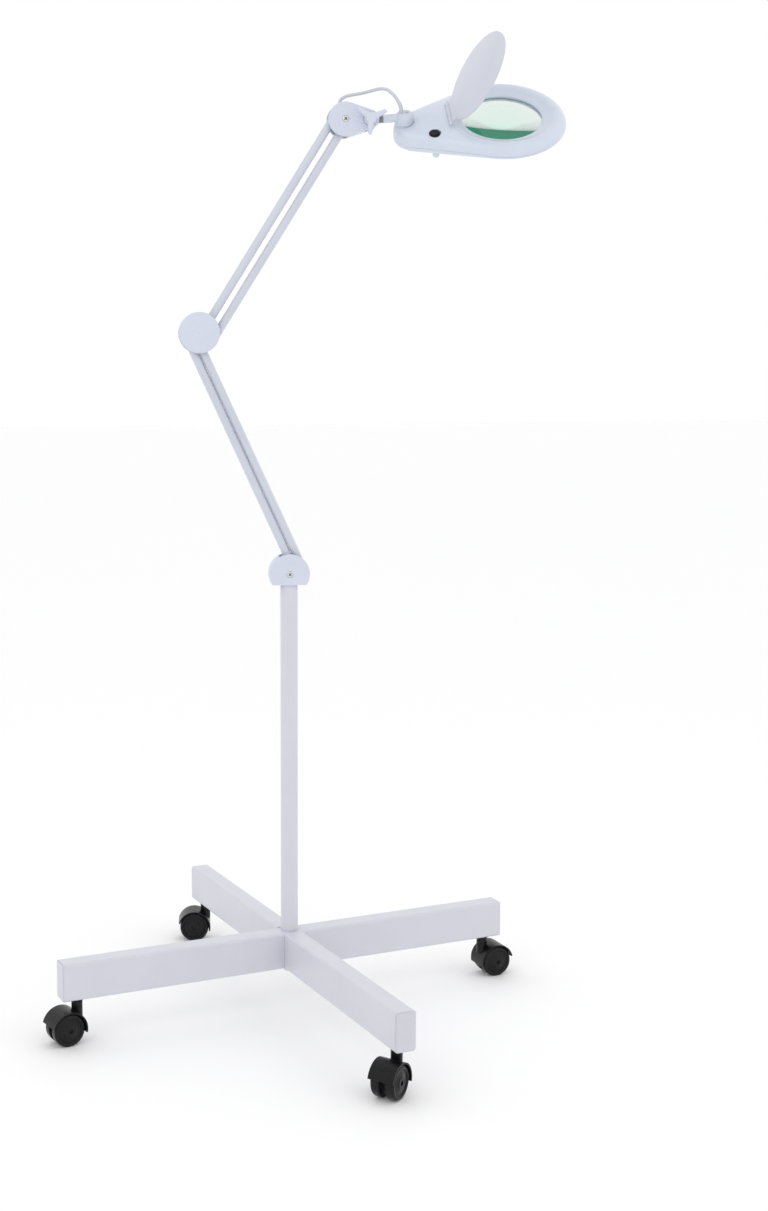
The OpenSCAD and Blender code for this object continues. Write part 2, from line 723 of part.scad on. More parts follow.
// Sloping well around the lens, lowered by d
module lens_well(d) {
    on_lens() rotate_extrude($fn = 96) polygon([
        [0, lens_z + 1 - d], [well_r, lens_z + 1 - d], [well_r, -8 - d], [well_r + 1, -7 - d],
        [well_r + 10, -4.4 - d], [crest_r - 9, -1.4 - d], [crest_r - 4, -0.3 - d],
        [crest_r, -d], [crest_r + 1, 12], [0, 12]]);
}
module above_split(z) {
    translate([-60, -150, z]) cube([360, 300, 80]);
}
module below_split(z) {
    translate([-60, -150, z - 80]) cube([360, 300, 80]);
}
module head_top() {
    color("white") in_head() {
        difference() {
            intersection() {
                head_form(0);
                above_split(split_z);
            }
            difference() {
                head_form(shell_t);
                lens_well(shell_t + 0.3);
                on_lens() translate([0, 0, -60]) cylinder(r = collar_r, h = 80);
                translate([0, 0, -60]) cylinder(r = cap_r, h = 80);
                at_switch() translate([0, 0, -60]) cylinder(r = switch_r + 3, h = 80);
                screw_posts(4.6, -60, 20);
            }
            screw_posts(1.5, -60, screw_top + 0.2);
            lens_well(0);
            on_lens() translate([0, 0, -40]) cylinder(r = lens_r + 0.1, h = 40.7 + lens_z + lens_edge / 2);
            // clearance above the seat of the yoke cap, and the bolt bore
            translate([0, 0, land_z]) cylinder(r = cap_r + 1, h = 20);
            translate([0, 0, -60]) cylinder(r = 3.5 + run_fit, h = 80);
            at_switch() cylinder(r = switch_r + 2.5, h = 20);
            at_switch() translate([0, 0, -60]) cylinder(r = switch_r + 0.1, h = 80);
        }
        // seat under the yoke cap, and the rim that the switch sits in
        difference() {
            translate([0, 0, split_z]) cylinder(r = cap_r - 1, h = land_z - split_z);
            translate([0, 0, -60]) cylinder(r = 3.5 + run_fit, h = 80);
        }
        at_switch() difference() {
            translate([0, 0, -5]) cylinder(r = switch_r + 2.2, h = 5);
            translate([0, 0, -60]) cylinder(r = switch_r + 0.1, h = 80);
        }
        // hinge ears
        for (s = [-1, 1]) difference() {
            translate([hinge_x, s * (hinge_half - 2), hinge_z]) rotate([90, 0, 0])
                cylinder(r = barrel_r, h = 4, center = true);
            translate([hinge_x, 0, hinge_z]) rotate([90, 0, 0]) cylinder(r = lid_pin_r, h = 90, center = true);
        }
        for (s = [-1, 1]) translate([hinge_x - 3, s * (hinge_half - 2) - 2, -2.2])
            cube([6, 4, hinge_z + 0.4]);
    }
}
module head_bottom() {
    color("gainsboro") in_head() difference() {
        intersection() {
            head_form(0);
            below_split(split_z);
        }
        difference() {
            head_form(shell_t);
            on_lens() translate([0, 0, -60]) cylinder(r = collar_r, h = 80);
            screw_posts(4.6, -60, split_z);
        }
        translate([0, 0, -60]) linear_extrude(60 - 22) hatch_outline(0);
        on_lens() translate([0, 0, -60]) cylinder(r = well_r, h = 80);
        on_lens() translate([0, 0, lens_z - lens_edge / 2 - 2.4]) cylinder(r = lens_r + 0.1, h = 30);
        on_lens() difference() {
            translate([0, 0, -60]) cylinder(r = led_out, h = 60 - ring_h + 7);
            translate([0, 0, -61]) cylinder(r = led_in, h = 80);
        }
        screw_posts(1.6, -60, split_z + 1);
        screw_posts(3.4, -60, -24);
    }
}
module at_switch() {
    translate([switch_at[0], switch_at[1], switch_z]) rotate([switch_lean, 0, 0]) children();
}
module screw_posts(r, z0, z1) {
    for (p = post_at) translate([p[0], p[1], z0]) cylinder(r = r, h = z1 - z0);
}
module head_screws() {
    color("silver") in_head() for (p = post_at) translate([p[0], p[1], 0]) {
        translate([0, 0, -27]) cylinder(r = 3.1, h = 3);
        translate([0, 0, -24]) cylinder(r = 1.45, h = 24 + screw_top);
    }
}
module lens() {
    rise = lens_t / 2 - lens_edge / 2;
    big = (pow(lens_r, 2) + pow(rise, 2)) / (2 * rise);
    half = asin(lens_r / big);
    top = [for (i = [0:16]) [big * sin(half * i / 16),
                             lens_edge / 2 + rise - big + big * cos(half * i / 16)]];
    low = [for (i = [16:-1:0]) [top[i][0], -top[i][1]]];
    color([0.75, 0.92, 0.85, 0.5]) in_head() on_lens() translate([0, 0, lens_z])
        rotate_extrude($fn = 96) polygon(concat(top, low));
}
module lens_ring() {
    z = lens_z - lens_edge / 2;
    color("white") in_head() on_lens() rotate_extrude() polygon([
        [well_r, z - 2.4], [lens_r, z - 2.4], [lens_r, z - 0.05], [well_r + 0.6, z - 0.6]]);
}
module led_board() {
    z = -ring_h + 7.6;
    color("ivory") in_head() on_lens() {
        difference() {
            translate([0, 0, z]) cylinder(r = led_out - 1, h = 1.6);
            translate([0, 0, z - 1]) cylinder(r = led_in + 1, h = 4);
        }
        for (k = [0:29]) rotate([0, 0, 12 * k]) translate([(led_in + led_out) / 2, 0, z - 0.4])
            cube([2.8, 3.5, 0.9], center = true);
    }
}
module light_diffuser() {
    color("white", 0.8) in_head() on_lens() difference() {
        translate([0, 0, -ring_h + 0.4]) cylinder(r = led_out - 0.1, h = 1.8);
        translate([0, 0, -ring_h - 1]) cylinder(r = led_in + 0.1, h = 5);
    }
}
module driver_board() {
    color("seagreen") in_head() {
        translate([20, -18, -29]) cube([42, 36, 1.6]);
        for (p = [[26, -10], [26, 8], [48, -8]]) translate([p[0], p[1], -27.4]) cylinder(r = 4.5, h = 9);
        translate([38, 4, -27.4]) cube([14, 12, 8]);
    }
}
// Hatch under the driver board, with a moulded foot
module hatch_outline(g) {
    translate([54, -35]) rounded(32 - 2 * g, 28 - 2 * g, 4);
}
module driver_hatch() {
    color("white") in_head() {
        difference() {
            intersection() {
                head_form(0.1);
                translate([0, 0, -60]) linear_extrude(40) hatch_outline(0.2);
            }
            head_form(shell_t);
        }
        translate([foot_at[0], foot_at[1], rear_bottom - 3]) cylinder(r = foot_r, h = 8);
    }
}
module switch_body() {
    color("#1b1b1d") in_head() at_switch() difference() {
        union() {
            cylinder(r = switch_r + 1, h = 1);
            translate([0, 0, -13]) cylinder(r = switch_r, h = 13.5);
        }
        translate([0, 0, -3]) cylinder(r = switch_r - 1.2, h = 6);
    }
}
module switch_rocker() {
    r = switch_r - 1.7;
    color("black") in_head() at_switch()
        translate([0, 0, -1]) rotate([0, -6, 0]) translate([0, 0, 1]) intersection() {
            translate([0, 0, -2]) cylinder(r = r, h = 6);
            difference() {
                translate([-8, -8, -1.2]) cube([16, 16, 3.4]);
                translate([0, 0, 17.5]) rotate([90, 0, 0]) cylinder(r = 16, h = 20, center = true);
            }
        }
}

// ---- lid, drawn closed and then turned open about its hinge
module opened() {
    translate([hinge_x, 0, hinge_z]) rotate([0, -lid_open, 0]) translate([-hinge_x, 0, -hinge_z])
        children();
}
module lid() {
    rim_z = hinge_z - lid_sink;
    crown = 6.4;
    top = [for (i = [0:8]) [lid_r * i / 8, rim_z + 2 + crown * (1 - pow(i / 8, 2))]];
    low = [for (i = [8:-1:0]) [(lid_r - 1.8) * i / 8, rim_z + crown * (1 - pow(i / 8, 2))]];
    color("white") in_head() opened() difference() {
        union() {
            translate([lid_x, 0, 0]) rotate_extrude($fn = 96)
                polygon(concat(top, [[lid_r, rim_z]], low));
            translate([hinge_x, 0, hinge_z]) rotate([90, 0, 0])
                cylinder(r = barrel_r, h = 2 * (hinge_half - 4) - 2 * pass_gap, center = true);
            // leaf from the barrel to the lid
            translate([hinge_x, -hinge_half + 4 + pass_gap, hinge_z - 2.4])
                cube([16, 2 * (hinge_half - 4 - pass_gap), 2]);
        }
        translate([hinge_x, 0, hinge_z]) rotate([90, 0, 0])
            cylinder(r = lid_pin_r + run_fit, h = 90, center = true);
    }
}
module lid_pin() {
    color("silver") in_head() translate([hinge_x, 0, hinge_z]) rotate([90, 0, 0])
        cylinder(r = lid_pin_r, h = 2 * hinge_half, center = true);
}

// ---- lead
function unit(v) = v / norm(v);
function heading(p, i) = unit(p[min(i + 1, len(p) - 1)] - p[max(i - 1, 0)]);
module lead() {
    n = 8;
    rings = len(lead_path);
    pts = [for (i = [0:rings - 1])
        let (t = heading(lead_path, i), u = unit(cross(t, [0, 1, 0])), v = cross(t, u))
        for (k = [0:n - 1]) lead_path[i] + lead_r * (cos(360 * k / n) * u + sin(360 * k / n) * v)];
    sides = [for (i = [0:rings - 2], k = [0:n - 1])
        let (a = i * n + k, b = i * n + (k + 1) % n) [a, b, b + n, a + n]];
    color("lightgray") translate([tilt_c[0], 0, tilt_c[1]]) polyhedron(points = pts, faces = concat(sides,
        [[for (k = [n - 1:-1:0]) k]], [[for (k = [0:n - 1]) (rings - 1) * n + k]]));
}

leg_tube_front();
leg_tube_side();
leg_caps();
caster_sockets();
caster_stems();
pole();
pole_bolt();
pole_bush();
for (i = [0:3]) {
    caster_hood(i);
    caster_wheel(i, -1);
    caster_wheel(i, 1);
}
base_bracket();
base_cover(-1);  // base_cover_front
base_cover(1);  // base_cover_back
base_fixings();
mains_gland();
lower_arm_main();
lower_arm_link();
lower_spring();
elbow_bracket();
elbow_cover(-1);  // elbow_cover_front
elbow_cover(1);  // elbow_cover_back
elbow_fixings();
upper_arm_main();
upper_arm_link();
upper_spring();
knuckle_bracket();
knuckle_cover(-1);  // knuckle_cover_front
knuckle_cover(1);  // knuckle_cover_back
knuckle_fixings();
clamp_bolt();
wing_knob();
tilt_tongue();
yoke_rod();
yoke_cap();
yoke_screw();
swivel_bolt();
head_top();
head_bottom();
head_screws();
lens();
lens_ring();
led_board();
light_diffuser();
driver_board();
driver_hatch();
switch_body();
switch_rocker();
lid();
lid_pin();
lead();
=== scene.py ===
import json
import math
import bmesh
import bpy
import numpy as np
from mathutils import Matrix, Vector


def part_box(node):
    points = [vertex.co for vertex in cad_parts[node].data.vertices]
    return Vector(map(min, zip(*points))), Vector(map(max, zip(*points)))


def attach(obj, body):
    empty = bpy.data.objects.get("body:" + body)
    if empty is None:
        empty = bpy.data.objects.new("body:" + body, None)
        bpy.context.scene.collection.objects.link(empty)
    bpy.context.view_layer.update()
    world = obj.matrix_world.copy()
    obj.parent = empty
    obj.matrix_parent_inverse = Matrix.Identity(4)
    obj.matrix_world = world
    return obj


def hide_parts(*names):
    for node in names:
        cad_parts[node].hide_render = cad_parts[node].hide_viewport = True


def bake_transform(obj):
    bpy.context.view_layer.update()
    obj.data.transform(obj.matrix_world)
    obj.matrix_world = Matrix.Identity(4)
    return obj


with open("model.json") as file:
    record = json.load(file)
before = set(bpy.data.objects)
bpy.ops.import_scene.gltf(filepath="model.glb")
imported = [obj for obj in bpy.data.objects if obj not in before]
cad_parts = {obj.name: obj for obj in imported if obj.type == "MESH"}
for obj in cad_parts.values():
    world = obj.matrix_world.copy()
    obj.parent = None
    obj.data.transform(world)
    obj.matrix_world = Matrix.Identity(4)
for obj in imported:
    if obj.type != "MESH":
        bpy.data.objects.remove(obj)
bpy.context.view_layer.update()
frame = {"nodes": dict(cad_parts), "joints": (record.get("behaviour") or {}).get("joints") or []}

mm = 0.001
joints = {j["name"]: j for j in frame["joints"]}
nodes = frame["nodes"]
print("frame loaded:", len(nodes), "nodes")


def jointAt(name):
    return Vector(joints[name]["pos_m"]), Vector(joints[name]["axis"]).normalized()


def axes(origin, zAxis, xHint=(1, 0, 0)):
    z = Vector(zAxis).normalized()
    y = z.cross(Vector(xHint)).normalized()
    x = y.cross(z)
    return Matrix.Translation(origin) @ Matrix((x, y, z)).transposed().to_4x4()


def addMesh(name, verts, faces, material, smooth=True):
    mesh = bpy.data.meshes.new(name)
    mesh.from_pydata([tuple(v) for v in verts], [], faces)
    mesh.update()
    piece = bpy.data.objects.new(name, mesh)
    bpy.context.scene.collection.objects.link(piece)
    if material:
        mesh.materials.append(material)
    for f in mesh.polygons:
        f.use_smooth = smooth
    return piece


def smoothByAngle(piece, degrees=35):
    mesh = piece.data
    for f in mesh.polygons:
        f.use_smooth = True
    work = bmesh.new()
    work.from_mesh(mesh)
    limit = math.radians(degrees)
    for e in work.edges:
        if len(e.link_faces) == 2 and e.calc_face_angle() > limit:
            e.smooth = False
    work.to_mesh(mesh)
    work.free()


cameraSpec = {
    "place": (-0.2695, -2.5639, 1.002),
    "yaw": -3.56,
    "pitch": -6.82,
    "roll": -0.36,
    "lens": 49.88,
    "sensor": 36,
    "farthest": 50,
    "shift": (0.1371, -0.026),
}


def makeCamera(spec):
    yaw, pitch, roll = (math.radians(spec[k]) for k in ("yaw", "pitch", "roll"))
    level = math.cos(pitch)
    forward = Vector((-math.sin(yaw) * level, math.cos(yaw) * level, math.sin(pitch)))
    right0 = Vector((math.cos(yaw), math.sin(yaw), 0))
    up0 = right0.cross(forward)
    right = math.cos(roll) * right0 + math.sin(roll) * up0
    up = math.cos(roll) * up0 - math.sin(roll) * right0
    data = bpy.data.cameras.new("camera")
    data.sensor_width = spec["sensor"]
    data.lens = spec["lens"]
    data.shift_x, data.shift_y = spec["shift"]
    data.clip_end = spec["farthest"]
    camera = bpy.data.objects.new("camera", data)
    turn = Matrix((right, up, -forward)).transposed().to_4x4()
    camera.matrix_world = Matrix.Translation(spec["place"]) @ turn
    bpy.context.scene.collection.objects.link(camera)
    bpy.context.scene.camera = camera


makeCamera(cameraSpec)
print("camera placed")


def newMaterial(name):
    material = bpy.data.materials.new(name)
    material.use_nodes = True
    tree = material.node_tree
    return material, tree, tree.nodes["Principled BSDF"]


mottle = {"low": 0.3, "high": 0.7}  # the middle part of the noise, which carries its pattern


def noise(tree, scale, detail=4.0, rough=0.5):
    coords = tree.nodes.new("ShaderNodeTexCoord")
    node = tree.nodes.new("ShaderNodeTexNoise")
    node.inputs["Scale"].default_value = scale
    node.inputs["Detail"].default_value = detail
    node.inputs["Roughness"].default_value = rough
    tree.links.new(coords.outputs["Object"], node.inputs["Vector"])
    return node


def spread(tree, source, low, high):
    node = tree.nodes.new("ShaderNodeMapRange")
    node.inputs["From Min"].default_value = mottle["low"]
    node.inputs["From Max"].default_value = mottle["high"]
    node.inputs["To Min"].default_value = low
    node.inputs["To Max"].default_value = high
    tree.links.new(source, node.inputs["Value"])
    return node.outputs["Result"]


def tint(tree, source, dark, light):
    ramp = tree.nodes.new("ShaderNodeValToRGB")
    ramp.color_ramp.elements[0].position = mottle["low"]
    ramp.color_ramp.elements[1].position = mottle["high"]
    ramp.color_ramp.elements[0].color = (*dark, 1)
    ramp.color_ramp.elements[1].color = (*light, 1)
    tree.links.new(source, ramp.inputs["Fac"])
    return ramp.outputs["Color"]


def bump(tree, shader, source, height, strength):
    node = tree.nodes.new("ShaderNodeBump")
    node.inputs["Distance"].default_value = height
    node.inputs["Strength"].default_value = strength
    tree.links.new(source, node.inputs["Height"])
    tree.links.new(node.outputs["Normal"], shader.inputs["Normal"])


surfaceSpec = {"patch": 18.0, "glossDrift": 0.05, "coatRoughness": 0.12, "grainStrength": 0.35}


def surface(name, dark, light, roughness, grain, height, metallic=0.0, coat=0.0, shine=0.5):
    # a slow drift of tone, a little change of gloss and a fine surface grain
    material, tree, shader = newMaterial(name)
    slow = noise(tree, surfaceSpec["patch"], 3.0)
    fine = noise(tree, grain, 5.0, 0.6)
    drift = surfaceSpec["glossDrift"]
    tree.links.new(tint(tree, slow.outputs["Fac"], dark, light), shader.inputs["Base Color"])
    tree.links.new(spread(tree, fine.outputs["Fac"], roughness - drift, roughness + drift),
                   shader.inputs["Roughness"])
    shader.inputs["Metallic"].default_value = metallic
    shader.inputs["Coat Weight"].default_value = coat
    shader.inputs["Coat Roughness"].default_value = surfaceSpec["coatRoughness"]
    shader.inputs["Specular IOR Level"].default_value = shine
    bump(tree, shader, fine.outputs["Fac"], height, surfaceSpec["grainStrength"])
    return material


finishes = {
    "whitePaint": surface("white paint", (0.62, 0.622, 0.69), (0.64, 0.642, 0.71),
                          0.34, 260, 0.0002, coat=0.2),
    "capPlastic": surface("cap plastic", (0.60, 0.60, 0.665), (0.63, 0.63, 0.695),
                          0.4, 900, 0.0001),
    "armPaint": surface("arm paint", (0.555, 0.585, 0.67), (0.60, 0.63, 0.71),
                        0.30, 300, 0.0002, coat=0.3),
    "whitePlastic": surface("white plastic", (0.60, 0.64, 0.745), (0.63, 0.67, 0.775),
                            0.36, 900, 0.0001),
    "headPlastic": surface("head plastic", (0.60, 0.655, 0.76), (0.635, 0.69, 0.79),
                           0.28, 1100, 0.00008, coat=0.3),
    # painted shade: the head's plastic made darker and greyer because the lid faces away from the light
    "lidShadedPlastic": surface("lid plastic with painted shade", (0.565, 0.59, 0.67), (0.59, 0.615, 0.695),
                          0.33, 1100, 0.00008, coat=0.2),
    "bracketPaint": surface("bracket paint", (0.52, 0.56, 0.65), (0.56, 0.60, 0.69),
                            0.36, 500, 0.0002),
    "zincSteel": surface("zinc steel", (0.55, 0.55, 0.56), (0.68, 0.68, 0.69),
                         0.26, 700, 0.0001, metallic=1.0),
    "chrome": surface("chrome", (0.62, 0.62, 0.63), (0.72, 0.72, 0.73),
                      0.14, 900, 0.00003, metallic=1.0),
    # painted shade: near-black colour standing in for the shade inside the cover screws' cross recesses
    "recessShadePainted": surface("painted screw recess shade", (0.02, 0.02, 0.022), (0.05, 0.05, 0.052),
                          0.4, 900, 0.0001, metallic=0.6),
    "darkSteel": surface("dark steel", (0.16, 0.165, 0.17), (0.26, 0.265, 0.27),
                         0.35, 600, 0.0002, metallic=0.9),
    "blackNylon": surface("black nylon", (0.004, 0.004, 0.0045), (0.008, 0.008, 0.0085),
                          0.28, 900, 0.0002, shine=0.22),
    "blackWheel": surface("black wheel", (0.004, 0.004, 0.005), (0.009, 0.009, 0.010),
                          0.24, 500, 0.0002, shine=0.22),
    "greenBoard": surface("green board", (0.02, 0.16, 0.07), (0.03, 0.2, 0.09), 0.4, 800, 0.0001),
    "ledWhite": surface("led white", (0.85, 0.85, 0.78), (0.9, 0.9, 0.84), 0.4, 800, 0.0001),
    "leadWhite": surface("lead sleeve", (0.56, 0.57, 0.63), (0.61, 0.62, 0.68), 0.42, 1500, 0.0001),
}


# the glow entries are painted light: a green emission in the glass that stands in for light caught inside it
glassSpec = {
    "colour": (0.855, 0.84, 0.84), "ior": 1.52, "polishGrain": 40.0, "polishHeight": 0.00002,
    "through": (0.12, 0.88, 0.60), "density": 13.0, "paintedGlow": (0.12, 1.0, 0.72), "paintedGlowStrength": 2.3,
}


def makeLensGlass(spec):
    # clear glass that greens with depth; its base colour greys it a little as painted shade, and an emission
    # inside it adds painted green light that stands in for light caught in the glass
    material, tree, shader = newMaterial("lens glass")
    # painted shade: the grey base colour darkens what is seen through the glass, standing in for darker
    # surroundings
    shader.inputs["Base Color"].default_value = (*spec["colour"], 1)
    shader.inputs["Roughness"].default_value = 0.0
    shader.inputs["IOR"].default_value = spec["ior"]
    shader.inputs["Transmission Weight"].default_value = 1.0
    polish = noise(tree, spec["polishGrain"], 3.0)
    bump(tree, shader, polish.outputs["Fac"], spec["polishHeight"], 0.1)
    depth = tree.nodes.new("ShaderNodeVolumeAbsorption")
    depth.inputs["Color"].default_value = (*spec["through"], 1)
    depth.inputs["Density"].default_value = spec["density"]
    # painted light: green emission that stands in for light caught inside the glass
    paintedGlow = tree.nodes.new("ShaderNodeEmission")
    paintedGlow.inputs["Color"].default_value = (*spec["paintedGlow"], 1)
    paintedGlow.inputs["Strength"].default_value = spec["paintedGlowStrength"]
    both = tree.nodes.new("ShaderNodeAddShader")
    tree.links.new(depth.outputs["Volume"], both.inputs[0])
    tree.links.new(paintedGlow.outputs["Emission"], both.inputs[1])
    tree.links.new(both.outputs["Shader"], tree.nodes["Material Output"].inputs["Volume"])
    return material


diffuserSpec = {
    "colour": (0.9, 0.93, 0.92), "through": 0.35, "ior": 1.49, "grain": 700, "roughness": (0.4, 0.5),
    "height": 0.0001,
}


def makeDiffuser(spec):
    material, tree, shader = newMaterial("milky diffuser")
    shader.inputs["Base Color"].default_value = (*spec["colour"], 1)
    shader.inputs["Transmission Weight"].default_value = spec["through"]
    shader.inputs["IOR"].default_value = spec["ior"]
    fine = noise(tree, spec["grain"], 4.0)
    tree.links.new(spread(tree, fine.outputs["Fac"], *spec["roughness"]), shader.inputs["Roughness"])
    bump(tree, shader, fine.outputs["Fac"], spec["height"], 0.3)
    return material


finishes["lensGlass"] = makeLensGlass(glassSpec)
finishes["lensEdge"] = surface("ground lens edge", (0.50, 0.78, 0.68), (0.60, 0.84, 0.75), 0.6, 600, 0.0001)
finishes["diffuser"] = makeDiffuser(diffuserSpec)

finishOf = {
    "whitePaint": ["leg_tube_front", "leg_tube_side", "pole"],
    "armPaint": ["lower_arm_main", "lower_arm_link", "upper_arm_main", "upper_arm_link"],
    "capPlastic": ["leg_caps"],
    "whitePlastic": ["pole_bush", "base_cover_front", "base_cover_back", "elbow_cover_front",
                     "elbow_cover_back", "knuckle_cover_front", "knuckle_cover_back", "wing_knob",
                     "yoke_rod", "yoke_cap", "lens_ring"],
    "headPlastic": ["head_top", "head_bottom", "driver_hatch"],
    "lidShadedPlastic": ["lid"],
    "bracketPaint": ["base_bracket", "elbow_bracket", "knuckle_bracket"],
    "zincSteel": ["caster_stems", "pole_bolt", "lower_spring", "upper_spring", "clamp_bolt", "swivel_bolt",
                  "head_screws", "lid_pin"],
    "chrome": ["base_fixings", "elbow_fixings", "knuckle_fixings", "yoke_screw"],
    "darkSteel": ["tilt_tongue"],
    "blackNylon": ["caster_sockets", "mains_gland", "switch_body", "switch_rocker"],
    "blackWheel": [],
    "greenBoard": ["driver_board"],
    "ledWhite": ["led_board"],
    "leadWhite": ["lead"],
    "lensGlass": ["lens"],
    "diffuser": ["light_diffuser"],
}
for letter in "abcd":
    finishOf["blackNylon"].append(f"caster_{letter}_hood")
    finishOf["blackWheel"] += [f"caster_{letter}_wheel_l", f"caster_{letter}_wheel_r"]


def dressNodes():
    for finish, members in finishOf.items():
        for name in members:
            piece = nodes[name]
            if not piece.material_slots:
                piece.data.materials.append(finishes[finish])
            for slot in piece.material_slots:
                slot.material = finishes[finish]


dressNodes()
print("finishes on the CAD nodes")


leadSpec = {
    "diameter": 0.0048, "spanSteps": 6, "bootSteps": 20, "bootWall": 0.0005, "bootRamp": 6,
    "route": [
        (78, 0, 1399), (77, 0, 1404), (80, 0, 1409), (87, 0, 1413), (96, 0, 1415),
        (108, 0, 1417), (121, 0, 1420), (132, 0, 1423), (141, -1, 1424), (149, -3, 1422),
        (155, -5, 1417), (160, -8, 1411), (164, -10, 1404), (167, -11, 1398),
        (168.5, -9, 1393.5), (169.1, -6.1, 1389.9)],
}


def smoothLine(points, steps):
    line = []
    for i in range(len(points) - 1):
        p0, p1 = points[max(i - 1, 0)], points[i]
        p2, p3 = points[i + 1], points[min(i + 2, len(points) - 1)]
        for k in range(steps):
            t = k / steps
            line.append(0.5 * ((2 * p1) + (p2 - p0) * t + (2 * p0 - 5 * p1 + 4 * p2 - p3) * t * t
                               + (3 * p1 - p0 - 3 * p2 + p3) * t ** 3))
    line.append(points[-1])
    return line


def tubeAlong(line, radii, around=16):
    # closed tube along a line, one radius to each point
    verts, faces = [], []
    side = Vector((0, 1, 0))
    for i, p in enumerate(line):
        t = (line[min(i + 1, len(line) - 1)] - line[max(i - 1, 0)]).normalized()
        side = (side - t * side.dot(t)).normalized()
        other = t.cross(side)
        for k in range(around):
            a = 2 * math.pi * k / around
            verts.append(p + radii[i] * (math.cos(a) * side + math.sin(a) * other))
    for i in range(len(line) - 1):
        for k in range(around):
            a, b = i * around + k, i * around + (k + 1) % around
            faces.append((a, b, b + around, a + around))
    faces.append(tuple(reversed(range(around))))
    faces.append(tuple(range((len(line) - 1) * around, len(line) * around)))
    return verts, faces


def makeLead(spec):
    line = smoothLine([Vector(p) * mm for p in spec["route"]], spec["spanSteps"])
    radius, split = spec["diameter"] / 2, len(line) - spec["bootSteps"]
    sleeve, last = line[:split], line[split - 2:]
    piece = addMesh("lead_sleeve", *tubeAlong(sleeve, [radius] * len(sleeve)), finishes["leadWhite"])
    bootRadii = [radius + spec["bootWall"] * min(1, k / spec["bootRamp"]) for k in range(len(last))]
    boot = addMesh("lead_boot", *tubeAlong(last, bootRadii), finishes["leadWhite"])
    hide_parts("lead")
    whole = sum((b - a).length for a, b in zip(line, line[1:]))
    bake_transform(piece)
    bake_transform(boot)
    print("lead laid,", round(whole * 1000), "mm with its boot")


makeLead(leadSpec)


headSpec = {
    "around": 260, "originHeight": 10,
    "lensReach": 146, "ringRadius": 97, "ringDepth": 22, "flatTop": 81, "topRound": 16, "bottomRound": 8,
    "rearX": 22, "rearRadius": 38, "rearTop": -10.5, "rearBottom": -40,
    "rearTopRound": 10, "rearBottomRound": 7,
    "split": -13, "seamRing": -15.2, "seamRear": -31, "seam": 0.25, "lip": 0.7, "wall": 2.2,
    "deckSteps": 26, "bellySteps": 22, "innerSteps": 9, "insideSteps": 10, "hem": 0.3, "nearEdge": 0.01,
    "well": [(60, -9.8), (60, -8.5), (60.7, -7.3), (63.5, -6.2), (67, -5.2), (71, -4.0), (74, -2.4),
             (77, -1.1), (79.5, -0.35), (82, -0.03)],
    "lensSeat": 63.6, "lensSeatTop": -9.8, "collar": 67, "collarTop": -8, "innerStart": 16.0,
    "innerDrop": 4, "innerGap": 0.4,
    "cheekIn": 1.0, "cheekEdge": 0.3, "cheekDrop": 0.6, "bellyStart": 0.5, "bellyDrop": 0.9,
    "mouthRise": 0.6, "ledge": 1.5,
    "insideStart": 1.6, "insideEdge": 1.2, "insideDrop": 0.5, "insideLip": 1.0,
    "ledOut": 86.6, "ledSeat": -16.5,
    "collarProfile": [(60.6, -22), (67.2, -22), (67.9, -21.3), (67.9, -13.6), (63.7, -13.6),
                      (63.7, -15.9), (60, -15.9), (60, -21.4)],
    "switchAt": (41, -39), "switchHeight": -6.5, "switchLean": 8,
    "switchBore": (8.9, -9, 12, 1.4), "yokePocket": (14.2, -8.9, 6, 0.8),
    "switchRim": (7.5, 9.6, -9.5, 0, 0.9), "yokeSeat": (3.6, 12.5, -14, -8.4, 0.8),
    "screws": [(4, 20), (4, -20), (52, 44), (27, -31)], "screwHole": (3.4, -60, -26),
    "earAt": 31, "earHalf": 2, "earSides": ((63.2, -2.6), (69.8, -2.6), (69.2, 3), (63.8, 3)),
    "earCentre": (66.5, 3), "earRound": 2.7,
}


def headPlace():
    # the head's own frame in millimetres: x towards the lens, z out of its top
    base, up = jointAt("head_swivel")
    side = -jointAt("lid_hinge")[1]
    turn = Matrix((side.cross(up), side, up)).transposed().to_4x4()
    return Matrix.Translation(base + headSpec["originHeight"] * mm * up) @ turn @ Matrix.Scale(mm, 4)


def blendSlices(spec, share, top):
    # the disc between ring and rear end at this share of the way: centre, flat radius, edge round, height
    def mix(a, b):
        return a + (b - a) * share
    centre = mix(spec["lensReach"], spec["rearX"])
    if top:
        edge = mix(spec["topRound"], spec["rearTopRound"])
        flat = mix(spec["flatTop"], spec["rearRadius"] - spec["rearTopRound"])
        return centre, flat, edge, mix(0, spec["rearTop"])
    edge = mix(spec["bottomRound"], spec["rearBottomRound"])
    flat = mix(spec["ringRadius"] - spec["bottomRound"], spec["rearRadius"] - spec["rearBottomRound"])
    return centre, flat, edge, mix(-spec["ringDepth"], spec["rearBottom"])


searchSpec = {
    "rounds": 4, "steps": 40, "unset": -1e6, "outside": -1e4,
    "nearest": 60.0, "farthest": 180.0, "slices": 400, "halvings": 40,
    "directions": 2880, "tightBehind": -110, "tightness": 1.7,
}


